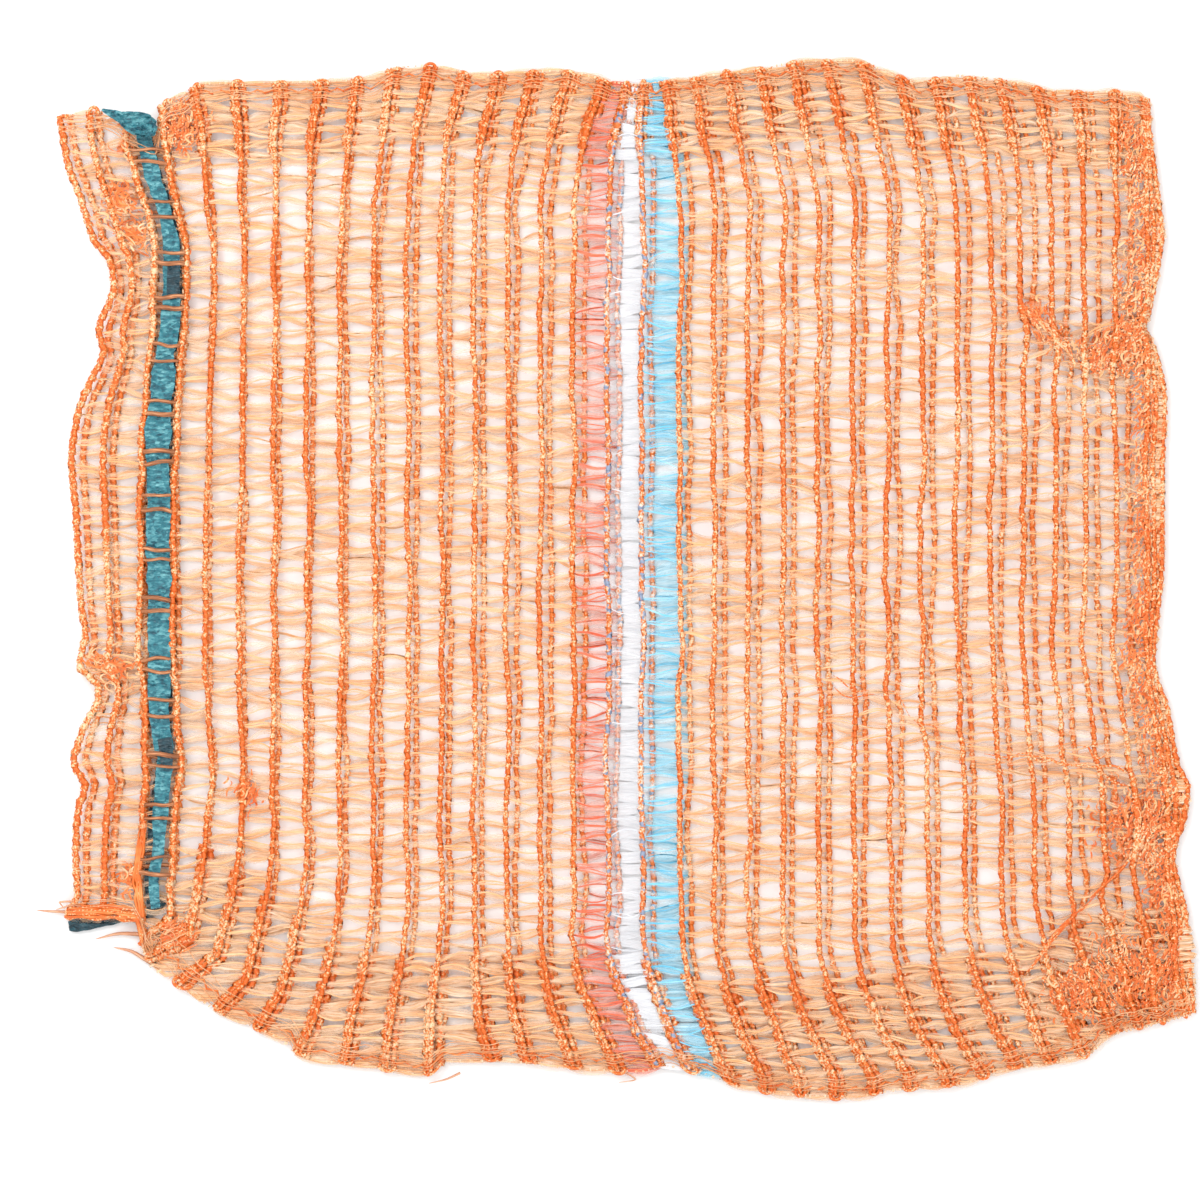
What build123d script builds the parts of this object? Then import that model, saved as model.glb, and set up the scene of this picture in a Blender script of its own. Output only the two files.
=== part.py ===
from build123d import *

import os

import numpy as np

# A small knitted hay net lying flat: a bag of two net layers with its mouth at -X, its bottom
# fold at +X and its sewn sides at -Y and +Y. Millimetres, +Z up, standing on z = 0, with the
# origin at the middle of the underside of the bounding box.
#
# Each layer is a raschel knit. Chains of stitches run across the bag, along Y, and flat weft
# tapes cross between neighbouring chains. Here the wefts of each colour are one thin panel, and
# each chain is a bar lying on that panel. A flat draw tape lies in a channel behind the rim of
# each layer, under bridging threads.

# Driving dimensions.
MOUTH_CHAIN_X = -115.2          # the first chain of the tape channel
PITCH_MOUTH = 8.07              # chain spacing from the channel to the stripes
PITCH_STRIPE = 8.23             # across the red and the white stripe
PITCH_BLUE = 9.2                # across the blue stripe
PITCH_MIDDLE = 8.36             # from the stripes towards the bottom
PITCH_BOTTOM = 7.55             # in the last few gaps beside the bottom fold
CHAIN_WIDTH = 1.7
CHAIN_HEIGHT = 0.7
CHANNEL_CHAIN_HEIGHT = 1.1      # the two chains that hold the bridging threads up
WEFT_THICKNESS = 0.6
FRONT_FLOOR_Z = 8.0             # underside of the front layer: how far the bag stands open
SEAM_THICKNESS = 1.2
THREAD_SIZE = 0.8
YARN_WIDTH = 0.9
YARN_THICKNESS = 0.5
TAPE_WIDTH = 5.8
TAPE_THICKNESS = 0.5
TAPE_FLOAT = 0.3                # the gap between a tape and the weft under it
BRIDGE_WIDTH = 1.0
BRIDGE_HEIGHT = 0.5
BRIDGE_PITCH = 12.2
BRIDGE_SPAN = (-68.5, 104.0)
RIGHT_ALLOWANCE_DEPTH = 17.0
LEFT_ALLOWANCE_DEPTH = 27.0
ALLOWANCE_THICKNESS = 1.4

TAPE_X = MOUTH_CHAIN_X + PITCH_MOUTH / 2
TAPE_WAY_WIDTH = 9.0            # the way for the rear tape through the foot of a side seam
TAPE_WAY_HEIGHT = 1.6
BODY_SPAN = (-97.0, 125.0)      # where the seam allowances and the sewing threads run
BEYOND = 300.0                  # longer than the bag, for cutting bodies

# The draw tapes. Each run is along Y, from the seam it is sewn to, to its free end.
FRONT_RUN = (-81.0, 112.0)
REAR_RUN = (-89.0, 108.0)
CRUMPLE_PLACE = (-116.2, 110.3)     # the front tape's free end, a crumpled bunch
CRUMPLE_SIZE = (15.6, 6.6, 1.9)
CRUMPLE_CORNER = 2.5
CRUMPLE_RAISE = 1.45                # its underside above the tape's
RISE_LENGTH = 3.0                   # the stretch of tape that climbs to the bunch
REAR_END_PLACE = (-120.6, -86.7)    # the rear tape's free end, turned aside
REAR_END_SIZE = (23.2, 4.6)

# The chains, counted from the channel, and which gap each colour fills.
CHANNEL_CHAINS = (0, 1)
RED_GAP = 13
WHITE_GAP = 14
BLUE_GAP = 15
FIRST_CLOSE_GAP = 25
LAST_CHAIN = 30
STRIPE_CHAINS = (14, 15)

# The outline of the bag, as points on its four edges. The edges are smooth curves.
RIGHT_EDGE = [(-134.0, 112.5), (-111.0, 111.0), (-100.5, 119.5), (-76.0, 120.0), (-52.0, 124.0),
              (-4.0, 121.5), (50.0, 125.6), (92.0, 121.0), (129.2, 116.2)]
LEFT_EDGE = [(-133.5, -81.8), (-124.0, -82.2), (-114.0, -83.0), (-108.0, -93.0), (-91.0, -107.4),
             (-76.7, -116.2), (-30.0, -117.0), (10.0, -118.5), (50.0, -125.6), (92.0, -119.5),
             (127.0, -108.5), (140.8, -105.0)]
FOLD_EDGE = [(129.2, 116.2), (132.8, 85.0), (128.3, 60.5), (133.5, 44.0), (132.8, 0.0),
             (130.6, -20.0), (139.4, -50.6), (135.4, -68.0), (140.8, -92.0), (140.8, -105.0)]
RIM_EDGE = [(-134.0, 112.5), (-128.0, 86.0), (-122.0, 71.0), (-131.0, 40.0), (-130.0, -15.0),
            (-125.7, -26.6), (-131.6, -45.0), (-131.4, -70.0), (-133.5, -81.8)]

# How far the ends of a chain lean along X, by the place of its middle.
LEAN_AT_RIGHT = [(-106.5, 0.0), (-96.0, -2.0), (-30.0, 5.0), (-8.0, 6.5), (8.0, -1.0), (25.0, -5.0),
                 (100.0, -5.0), (118.0, 0.0)]
LEAN_AT_LEFT = [(-106.5, 0.0), (-98.0, -14.0), (-76.0, -12.0), (-50.0, -6.0), (-34.0, 4.0),
                (-10.0, 9.0), (15.0, 10.0), (105.0, 14.0), (128.0, 6.0)]
RIGHT_LEAN_START = 90.0
RIGHT_LEAN_SPAN = 30.0
LEFT_LEAN_START = -70.0
LEFT_LEAN_SPAN = 50.0
REAR_OFFSET = [(-100.0, 0.0), (-20.0, 2.0), (50.0, 2.4), (128.0, 3.0)]

# The last chains are pushed together where the bottom fold is creased inwards.
CREASED_PITCH = 2.3

# The chains of the rim, as parts of the way from the channel to the rim's edge.
RIM_CHAINS = {"front": (0.86, 0.45), "rear": (0.72, 0.35)}

CHAIN_STATIONS = [130.0, 104.0, 90.0, 60.0, 30.0, -20.0, -70.0, -100.0, -130.0]
RIM_STATIONS = [109.0, 86.0, 71.0, 40.0, -15.0, -26.6, -45.0, -70.0, -79.0]


def along(points, value):
    """The second coordinate of a line of points, at a value of the first."""
    return float(np.interp(value, [p[0] for p in points], [p[1] for p in points]))


def chain_place(number):
    """The X of a chain's middle."""
    pitches = {WHITE_GAP: PITCH_STRIPE, RED_GAP: PITCH_STRIPE, BLUE_GAP: PITCH_BLUE}
    place = MOUTH_CHAIN_X
    for gap in range(number):
        if gap in pitches:
            place += pitches[gap]
        elif gap < RED_GAP:
            place += PITCH_MOUTH
        elif gap < FIRST_CLOSE_GAP:
            place += PITCH_MIDDLE
        else:
            place += PITCH_BOTTOM
    return place


def chain_x(number, y, layer):
    """The X of a chain at a Y, with the lean of its two ends."""
    middle = chain_place(number)
    right = max(0.0, (y - RIGHT_LEAN_START) / RIGHT_LEAN_SPAN)
    left = max(0.0, (LEFT_LEAN_START - y) / LEFT_LEAN_SPAN)
    offset = along(REAR_OFFSET, middle) if layer == "rear" else 0.0
    x = middle + along(LEAN_AT_RIGHT, middle) * right + along(LEAN_AT_LEFT, middle) * left + offset
    fold = along([(q, p) for p, q in reversed(FOLD_EDGE)], y)
    return min(x, fold - CREASED_PITCH * (LAST_CHAIN + 1 - number))


def rim_chain_x(fraction, y):
    """The X of a chain of the rim, which follows the rim's edge."""
    edge = along([(q, p) for p, q in reversed(RIM_EDGE)], y)
    return MOUTH_CHAIN_X + fraction * (edge - MOUTH_CHAIN_X)


def between(first, second):
    """The face between two curves that run the same way, each through its own points."""
    a = Spline(*first)
    b = Spline(*second)
    return make_face([a, Line(a @ 1, b @ 1), b, Line(b @ 0, a @ 0)])


def moved(points, dx, dy):
    return [(x + dx, y + dy) for x, y in points]


def outline():
    """The whole outline of a layer."""
    sides = [RIGHT_EDGE, FOLD_EDGE, LEFT_EDGE[::-1], RIM_EDGE[::-1]]
    return make_face([Spline(*side) for side in sides])


def strip(left_line, right_line):
    """A strip across the bag between two lines, each a function from Y to X."""
    first = [(left_line(y), y) for y in CHAIN_STATIONS]
    second = [(right_line(y), y) for y in CHAIN_STATIONS]
    return between(first, second)


def slab(face, z, height):
    return Pos(0, 0, z) * extrude(face, height)


def weft_zone(panel, layer, first, last):
    """The part of a layer from one chain to another. None stands for the layer's own edge."""
    def start(y):
        return -BEYOND if first is None else chain_x(first, y, layer)

    def end(y):
        return BEYOND if last is None else chain_x(last, y, layer)

    return panel & strip(start, end)


def chain_bars(inside, layer, numbers):
    """The bars of some chains, cut to the inside of the seams."""
    bars = []
    for number in numbers:
        def start(y, number=number):
            return chain_x(number, y, layer) - CHAIN_WIDTH / 2

        def end(y, number=number):
            return chain_x(number, y, layer) + CHAIN_WIDTH / 2

        bars.append(inside & strip(start, end))
    return bars


def rim_bars(inside, layer):
    """The bars of the rim's own chains."""
    bars = []
    for fraction in RIM_CHAINS[layer]:
        middle = [(rim_chain_x(fraction, y), y) for y in RIM_STATIONS]
        bars.append(between(moved(middle, -CHAIN_WIDTH / 2, 0), moved(middle, CHAIN_WIDTH / 2, 0)))
    return [inside & bar for bar in bars]


def solids_of(faces, z, height):
    """One closed solid for each face, as a group."""
    solids = []
    for face in faces:
        solids += slab(face, z, height).solids()
    return Compound(solids)


def bridges(z):
    """The threads that cross over a tape, from one channel chain to the other."""
    start, end = BRIDGE_SPAN
    count = int((end - start) / BRIDGE_PITCH) + 1
    places = [Pos(TAPE_X, start + BRIDGE_PITCH * i, z + BRIDGE_HEIGHT / 2) for i in range(count)]
    bars = [place * Box(PITCH_MOUTH, BRIDGE_WIDTH, BRIDGE_HEIGHT) for place in places]
    return Compound([bar.solid() for bar in bars])


def layer_parts(layer, weft_z):
    """Every piece of one layer of the net."""
    panel = outline()
    inside = panel - edge_band(RIGHT_EDGE, 0, -SEAM_THICKNESS) - edge_band(LEFT_EDGE, 0, SEAM_THICKNESS)
    inside -= fold_band()
    chain_z = weft_z + WEFT_THICKNESS
    zones = {
        "rim_weft": (None, 0),
        "channel_weft": (0, 1),
        "mouth_side_orange_weft": (1, RED_GAP),
        "red_stripe_weft": (RED_GAP, WHITE_GAP),
        "white_stripe_weft": (WHITE_GAP, BLUE_GAP),
        "blue_stripe_weft": (BLUE_GAP, BLUE_GAP + 1),
        "bottom_side_orange_weft": (BLUE_GAP + 1, None),
    }
    chains = {
        "mouth_side_chains": range(2, STRIPE_CHAINS[0]),
        "stripe_chains": STRIPE_CHAINS,
        "bottom_side_chains": range(STRIPE_CHAINS[1] + 1, LAST_CHAIN + 1),
    }
    parts = {}
    for name, (first, last) in zones.items():
        parts[f"{layer}_{name}"] = slab(weft_zone(panel, layer, first, last), weft_z, WEFT_THICKNESS)
    parts[f"{layer}_rim_chains"] = solids_of(rim_bars(inside, layer), chain_z, CHAIN_HEIGHT)
    channel = chain_bars(inside, layer, CHANNEL_CHAINS)
    parts[f"{layer}_channel_chains"] = solids_of(channel, chain_z, CHANNEL_CHAIN_HEIGHT)
    for name, numbers in chains.items():
        bars = chain_bars(inside, layer, numbers)
        parts[f"{layer}_{name}"] = solids_of(bars, chain_z, CHAIN_HEIGHT)
    parts[f"{layer}_tape_bridges"] = bridges(chain_z + CHANNEL_CHAIN_HEIGHT)
    return parts


def edge_band(edge, near, far):
    """The band along a side edge, between two distances from it along Y."""
    return between(moved(edge, 0, near), moved(edge, 0, far))


def fold_band():
    """The band along the bottom where the knit turns from one layer to the other."""
    return between(FOLD_EDGE, moved(FOLD_EDGE, -SEAM_THICKNESS, 0))


def seams_and_fold():
    """The two side seams and the bottom fold, which join the two layers."""
    height = FRONT_FLOOR_Z - WEFT_THICKNESS
    right = edge_band(RIGHT_EDGE, 0, -SEAM_THICKNESS)
    left = edge_band(LEFT_EDGE, 0, SEAM_THICKNESS)
    tape_way = Pos(TAPE_X, 0, WEFT_THICKNESS) * Box(TAPE_WAY_WIDTH, BEYOND, 2 * TAPE_WAY_HEIGHT)
    return {
        "right_side_seam": slab(right, WEFT_THICKNESS, height) - tape_way,
        "left_side_seam": slab(left, WEFT_THICKNESS, height) - tape_way,
        "bottom_fold": slab(fold_band() - right - left, WEFT_THICKNESS, height),
    }


def body_part(edge, near, far):
    """A band along a side edge, from the channel to the bottom fold."""
    start, end = BODY_SPAN
    span = Pos((start + end) / 2, 0) * Rectangle(end - start, BEYOND)
    return edge_band(edge, near, far) & span


def inner_flap(edge, inward, depth):
    """A seam allowance: the cut edges beyond a seam, folded inside on the rear layer."""
    face = body_part(edge, inward * SEAM_THICKNESS, inward * depth)
    return slab(face, WEFT_THICKNESS + CHAIN_HEIGHT, ALLOWANCE_THICKNESS)


def seam_thread(edge, inward):
    """The sewing thread, a line of stitches on the inner face of a seam."""
    face = body_part(edge, inward * SEAM_THICKNESS, inward * (SEAM_THICKNESS + THREAD_SIZE))
    return slab(face, FRONT_FLOOR_Z / 2, THREAD_SIZE)


def tape_run(span, z):
    """The straight run of a tape in its channel, with its underside at z."""
    start, end = span
    run = Box(TAPE_WIDTH, end - start, TAPE_THICKNESS, align=(Align.CENTER, Align.MIN, Align.MIN))
    return Pos(TAPE_X, start, z) * run


def front_tape():
    """The front draw tape, from the left seam to its crumpled free end past the right seam."""
    z = FRONT_FLOOR_Z + WEFT_THICKNESS + TAPE_FLOAT
    standing = (Align.CENTER, Align.MAX, Align.MIN)
    rise = Pos(TAPE_X, FRONT_RUN[1], z) * Box(TAPE_WIDTH, RISE_LENGTH, RISE_LENGTH, align=standing)
    on_base = (Align.CENTER, Align.CENTER, Align.MIN)
    crumple = Pos(*CRUMPLE_PLACE, z + CRUMPLE_RAISE) * Box(*CRUMPLE_SIZE, align=on_base)
    return tape_run(FRONT_RUN, z) + rise + fillet(crumple.edges().filter_by(Axis.Z), CRUMPLE_CORNER)


def rear_tape():
    """The rear draw tape, from the right seam to its free end, which turns aside past the left seam."""
    z = WEFT_THICKNESS + TAPE_FLOAT
    on_base = (Align.CENTER, Align.CENTER, Align.MIN)
    aside = Pos(*REAR_END_PLACE, z) * Box(*REAR_END_SIZE, TAPE_THICKNESS, align=on_base)
    return tape_run(REAR_RUN, z) + aside


def yarn(x, y, length, angle):
    """A loose end of flat yarn lying on the ground."""
    return Pos(x, y, YARN_THICKNESS / 2) * Rot(0, 0, angle) * Box(length, YARN_WIDTH, YARN_THICKNESS)


def loose_ends():
    """The cut ends of yarn that stick out at the corners of the bag."""
    ends = [
        yarn(-137.3, -81.0, 7.0, 0),
        yarn(-121.0, -93.5, 17.0, 14),
        yarn(-114.0, -98.0, 14.0, -22),
        yarn(-40.0, -121.5, 7.0, -18),
    ]
    return Compound([end.solid() for end in ends])


def main():
    os.makedirs("parts", exist_ok=True)
    parts = {}
    parts.update(layer_parts("rear", 0.0))
    parts.update(layer_parts("front", FRONT_FLOOR_Z))
    parts.update(seams_and_fold())
    parts["right_seam_allowance"] = inner_flap(RIGHT_EDGE, -1, RIGHT_ALLOWANCE_DEPTH)
    parts["left_seam_allowance"] = inner_flap(LEFT_EDGE, 1, LEFT_ALLOWANCE_DEPTH)
    parts["right_seam_thread"] = seam_thread(RIGHT_EDGE, -1)
    parts["left_seam_thread"] = seam_thread(LEFT_EDGE, 1)
    parts["front_draw_tape"] = front_tape()
    parts["rear_draw_tape"] = rear_tape()
    parts["loose_yarn_ends"] = loose_ends()

    box = Compound([solid for shape in parts.values() for solid in shape.solids()]).bounding_box()
    to_origin = Pos(-box.center().X, -box.center().Y, -box.min.Z)
    print(f"moved by {to_origin.position.X:.3f}, {to_origin.position.Y:.3f}, {to_origin.position.Z:.3f}")
    for name, shape in parts.items():
        export_step(to_origin * shape, f"parts/{name}.step")
        print(f"{name}: {len(shape.solids())} solids, {shape.volume:.1f} mm3")


main()
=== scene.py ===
import math

import bpy
import numpy as np
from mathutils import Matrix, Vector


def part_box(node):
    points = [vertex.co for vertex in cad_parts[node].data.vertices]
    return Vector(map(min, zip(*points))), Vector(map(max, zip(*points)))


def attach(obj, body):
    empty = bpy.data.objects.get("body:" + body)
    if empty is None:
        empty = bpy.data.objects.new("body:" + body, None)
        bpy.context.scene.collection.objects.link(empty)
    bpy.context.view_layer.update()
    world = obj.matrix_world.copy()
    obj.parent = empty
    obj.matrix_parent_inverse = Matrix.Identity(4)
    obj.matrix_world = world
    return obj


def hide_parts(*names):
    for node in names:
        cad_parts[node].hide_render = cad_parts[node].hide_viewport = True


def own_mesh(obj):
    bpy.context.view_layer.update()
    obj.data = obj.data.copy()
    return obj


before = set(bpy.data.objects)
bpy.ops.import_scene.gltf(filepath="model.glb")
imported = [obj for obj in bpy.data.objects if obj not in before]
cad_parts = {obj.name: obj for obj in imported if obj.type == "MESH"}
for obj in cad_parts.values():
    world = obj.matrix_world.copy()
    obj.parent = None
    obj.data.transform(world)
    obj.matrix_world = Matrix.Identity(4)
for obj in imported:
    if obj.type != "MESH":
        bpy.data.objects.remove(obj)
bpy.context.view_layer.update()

# A small knitted hay net lying flat, yarn by yarn. Lengths here are in millimetres, in the
# drawing coordinates of the CAD model: the mouth at -x, the bottom fold at +x, the left seam
# at -y and the right seam at +y. mesh_piece turns them into metres in the shared frame.

MM = 0.001

# The same driving dimensions as the CAD model.
MOUTH_CHAIN_X = -115.2
PITCH_MOUTH = 8.07
PITCH_STRIPE = 8.23
PITCH_BLUE = 9.2
PITCH_MIDDLE = 8.36
PITCH_BOTTOM = 7.55
FIRST_CLOSE_GAP = 25
TAPE_X = MOUTH_CHAIN_X + PITCH_MOUTH / 2
TAPE_WIDTH = 5.8
LAST_CHAIN = 30
RED_GAP, WHITE_GAP, BLUE_GAP = 13, 14, 15
TAPE_START = -81.0
CREASED_PITCH = 2.3
BRIDGE_SPAN = (-68.5, 104.0)
BRIDGE_PITCH = 12.2
ALLOWANCE_DEPTH = {"right": 17.0, "left": 27.0}

COURSE = 2.9                    # the length of one chain stitch
STITCH_POINTS = 8
CHAIN_SWING = 0.24              # how far a chain's yarn swings to each side in a stitch
CHAIN_LIFT = 0.12               # how far it lies above its layer
LOOP_SWING = 0.62               # the same swing for its thin loops
YARN_HALF_WIDTH = 0.66
YARN_HALF_THICKNESS = 0.17
LOOP_HALF_WIDTH = 0.17
BUNCHED_BREADTH = 0.7           # by what share a chain is broader where the net is bunched up

WEFT_HALF_WIDTH = 0.50
WEFT_STATIONS = 7               # points along one crossing
FIBRE_LIFT = 0.1
FIBRE_HALF_WIDTH = (0.07, 0.17)
WEB_DROP = 0.08
WEB_HALF_WIDTH = (0.1, 1.6)     # the least and the most

TANGLES_PER_AREA = 3.8
TANGLE_LENGTH = (0.8, 2.8)
TANGLE_HALF_WIDTH = (0.10, 0.34)
TANGLE_LIFT = 0.05

# Heights over the floor: a layer's own at the seams, the front one's swell between them and its waves.
FRONT_HEIGHT, FRONT_SWELL, FRONT_WAVES = 1.9, 1.5, 0.8
REAR_HEIGHT, REAR_WAVES, REAR_SEAM_RISE = 1.05, 0.12, 0.3
CREASE_AT_SEAM = 0.2            # the share of a crease's height that is left where it runs into a seam
SWELL_FROM_SEAM, SWELL_FROM_FOLD = 8, 9     # how far from a seam or the fold the swell is mostly reached
NEAR_FOLD_PITCH = 7.0
SEAM_MIDDLE = 1.7

# How far tapes and the yarns over them lie above their layer.
TAPE_LIFT = {"front": 0.55, "rear": 0.50}
BRIDGE_LIFT = {"front": 1.35, "rear": 1.05}


def drawing_origin():
    """Where the drawing's origin lies in the frame, from the bridges and the sewn end of the front tape."""
    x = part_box("front_tape_bridges")[0][0] / MM - MOUTH_CHAIN_X
    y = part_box("front_draw_tape")[0][1] / MM - TAPE_START
    return np.array([x, y, 0.0])


ORIGIN = drawing_origin()


# ---- curves and noise

class Curve:
    """A smooth curve through points of growing first coordinate, which never overshoots them."""

    def __init__(self, *points):
        self.a = np.array([p[0] for p in points], float)
        self.b = np.array([p[1] for p in points], float)
        slope = np.diff(self.b) / np.diff(self.a)
        before, after = slope[:-1], slope[1:]
        same_way = before * after > 0
        inner = np.where(same_way, 2 * before * after / np.where(same_way, before + after, 1.0), 0.0)
        self.slope = np.concatenate([slope[:1], inner, slope[-1:]])

    def __call__(self, value):
        value = np.clip(value, self.a[0], self.a[-1])
        i = np.clip(np.searchsorted(self.a, value) - 1, 0, len(self.a) - 2)
        width = self.a[i + 1] - self.a[i]
        s = (value - self.a[i]) / width
        h = (self.b[i] * (1 + 2 * s) * (1 - s) ** 2 + self.b[i + 1] * s * s * (3 - 2 * s)
             + self.slope[i] * width * s * (1 - s) ** 2 - self.slope[i + 1] * width * s * s * (1 - s))
        return h


class Noise:
    """Smooth seeded noise from -1 to 1 over a plane."""

    SIDE = 61

    def __init__(self, seed):
        self.grid = np.random.default_rng(seed).uniform(-1, 1, (self.SIDE, self.SIDE))

    def __call__(self, a, b):
        a, b = np.broadcast_arrays(np.asarray(a, float), np.asarray(b, float))
        i, j = np.floor(a).astype(int), np.floor(b).astype(int)
        s, t = a - i, b - j
        s, t = s * s * (3 - 2 * s), t * t * (3 - 2 * t)
        g, n = self.grid, self.SIDE
        low = g[i % n, j % n] * (1 - s) + g[(i + 1) % n, j % n] * s
        high = g[i % n, (j + 1) % n] * (1 - s) + g[(i + 1) % n, (j + 1) % n] * s
        return low * (1 - t) + high * t


def ramp(value, start, end):
    """0 before start, 1 after end, smooth between."""
    s = np.clip((value - start) / (end - start), 0, 1)
    return s * s * (3 - 2 * s)


# ---- the outline of the bag

RIGHT_EDGE = Curve(
    (-135.5, 112), (-126, 113.3), (-118, 109.5), (-112.5, 107), (-111.5, 109.5), (-109.4, 115.2),
    (-105.8, 117.2), (-100, 119.8), (-88, 120), (-76.5, 120.2), (-60, 121), (-52.5, 123.9), (-46, 124.2),
    (-33, 121.9), (-14, 122.9), (3, 119.8), (20, 121.5), (35, 123.5), (46, 125.3), (57, 125.4),
    (73, 120.3), (83, 121.7), (93, 120.8), (107, 118.1), (118, 117.9), (129.3, 116.2),
)
LEFT_EDGE = Curve(
    (-134, -82), (-124, -82.2), (-116.4, -82.8), (-114.4, -91), (-110.5, -95.5), (-104.5, -99.3),
    (-96, -105.5), (-86.4, -109.4), (-81, -112), (-77.4, -115.6), (-67, -117.6), (-57, -118.6),
    (-46.5, -120.3), (-41, -117.1), (-28, -116.9), (-16, -118.3), (5.6, -119.5), (12, -118.3),
    (21, -120), (30, -123.4), (44, -125.2), (57, -125.6), (68.5, -123.9), (83, -122.7),
    (92.7, -119.5), (105, -117.6), (115, -115), (119, -111), (129, -108.4), (140.6, -105.3),
)
FOLD_EDGE = Curve(
    (-105.3, 140.6), (-92.5, 140.6), (-86.4, 139.6), (-74.3, 136.8), (-68, 135.5), (-56, 138.9),
    (-50.6, 139.4), (-44, 136.5), (-32, 134.3), (-20, 130.7), (-13.8, 131.2), (4, 132.9), (28.6, 133.1),
    (43, 133.6), (53.5, 131.6), (60.5, 128.3), (65, 129.7), (76.5, 132), (83, 132.9), (95, 131.6),
    (107, 130), (116.2, 129.2),
)
RIM_EDGE = Curve(
    (-82.2, -134), (-76, -131), (-65, -131.4), (-56, -130.9), (-50, -129.2), (-44, -131.9),
    (-38, -130.2), (-27.5, -125.8), (-20.5, -130.6), (-13.8, -129), (-7.7, -130), (16.5, -131.4),
    (28.6, -132.4), (40.6, -130.7), (50, -126.5), (54.5, -124.6), (59, -125.6), (71, -122),
    (77, -122.9), (83, -127.3), (89, -129), (101, -133.3), (112.5, -135.5),
)

# How the draw tape and its channel wander, and the tape's width on the way.
TAPE_PATH = Curve(
    (-80.3, -111.6), (-73, -112.1), (-65.8, -111.3), (-54, -110.5), (-45.3, -109.6), (-32, -110.8),
    (-17.4, -110.9), (6.8, -111.1), (31, -111.1), (43.1, -110.4), (52.8, -109.4), (62.4, -108.2),
    (80.6, -107.9), (85.4, -108.7), (91.5, -110.4), (98.7, -112.8), (106.5, -114.8),
)
TAPE_WIDTHS = Curve(
    (-80.3, 2.4), (-65.8, 2.8), (-57.4, 3.4), (-45.3, 4.1), (-32, 4.8), (6.8, TAPE_WIDTH), (43.1, 5.6),
    (55, 4.9), (72, 4.1), (85.4, 3.4), (106.5, 3.8),
)

# How far the ends of a chain lean along x, by the place of its middle.
LEAN_AT_RIGHT = Curve(
    (-107, 0), (-96, -2), (-88, 0), (-66, 3.6), (-40, 4.4), (-30, 5.6), (-8, 6.3),
    (0, 3), (8, -1), (16, -3.5), (28, -5.2), (100, -5), (110, -2.5), (118, 0),
)
LEAN_AT_LEFT = Curve(
    (-115, 0), (-107, -3), (-99, -13.5), (-84, -12.6), (-76, -11.5), (-68, -9.4), (-52, -5.8),
    (-43, -2.9), (-35, 3.8), (-26, 4.8), (-18, 7.5), (-2, 11), (16, 10.2), (65, 11.4),
    (90, 13), (105, 13.5), (128, 7),
)
# Past the left seam near the mouth the net is folded outward, and its chains turn towards the mouth.
CORNER_TURN = Curve((-111, 0), (-107, 1.1), (-99, 1.8), (-91, 1.1), (-83, 0.75), (-75, 0.4), (-62, 0))
CORNER_START = Curve((-107, 82), (-99, 86.9), (-91, 91.2), (-83, 97), (-75, 100.7), (-62, 107))
DRIFT = Curve((40, 0), (65, 1), (92, 2.6), (113, 4.8), (128, 5.4))
LEAN_START = Curve((-100, 58), (-50, 74), (-20, 84), (60, 86), (128, 70))
REAR_OFFSET = Curve((-106, 0.4), (-75, 0.7), (-50, 2), (50, 2.5), (128, 3.7))
RIM_CHAINS = {"front": (0.98, 0.54), "rear": (0.83, 0.41)}

# Small holes where the weft has been pulled apart, and places where the net is bunched up: x, y, radius.
HOLES = [(-82, -13.8, 2.6), (-125, 46.7, 3.2), (-122.5, -34.4, 3), (-10.4, -96.8, 2.4), (-103, -49, 1.8)]
BUNCHES = [(-106, 110, 7), (101, 64, 4.5), (107, 57, 5), (117, 54, 6), (125, 57, 7), (126, -60, 10),
           (112, -100, 9), (125, -96, 12), (-4, 110, 5), (-107, -86, 5), (-90, -52, 4)]
RIM_BUNCHES = [(-122, -22, 4.5), (-126, -20, 3), (-117, -72, 4), (-121, 92, 5), (-117, 84, 4),
               (-118, 105, 3.5)]


def chain_places():
    """The x of each chain's middle."""
    pitches = ([PITCH_MOUTH] * RED_GAP + [PITCH_STRIPE] * (BLUE_GAP - RED_GAP) + [PITCH_BLUE]
               + [PITCH_MIDDLE] * (FIRST_CLOSE_GAP - BLUE_GAP - 1)
               + [PITCH_BOTTOM] * (LAST_CHAIN - FIRST_CLOSE_GAP))
    return np.cumsum([MOUTH_CHAIN_X, *pitches])


CHAIN_PLACES = chain_places()
SWAY = {"front": Noise(11), "rear": Noise(12)}
WAVES = {"front": Noise(21), "rear": Noise(22)}
RUMPLE = {"front": Noise(31), "rear": Noise(32)}

# Creases: each is a line, its reach, how far it pulls the net in and how high it stands.
CREASES = [
    ([(-129, -20), (-112, -23), (-98, -25), (-79, -24.5)], 5.0, 0.55, 1.6),
    ([(-91, -50), (-83, -54), (-75, -59), (-67, -65), (-59, -69)], 5.0, 0.35, 1.4),
    ([(97, 66), (106, 58), (114, 52)], 6.0, 0.55, 1.8),
    ([(120, 62), (129, 60)], 5.0, 0.45, 1.2),
    ([(48, -24.5), (57, -27), (66, -29), (75, -38), (84, -41.5)], 4.0, 0.45, 1.4),
    ([(84, -41.5), (100, -43.5), (111, -45), (122, -47), (139, -50.6)], 5.0, 0.5, 1.7),
    ([(98, -97), (106, -86), (115, -77), (124, -68), (133, -54)], 4.5, 0.6, 2.0),
    ([(126, -104), (134, -92), (139, -80)], 7.0, 0.45, 1.6),
]


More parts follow.
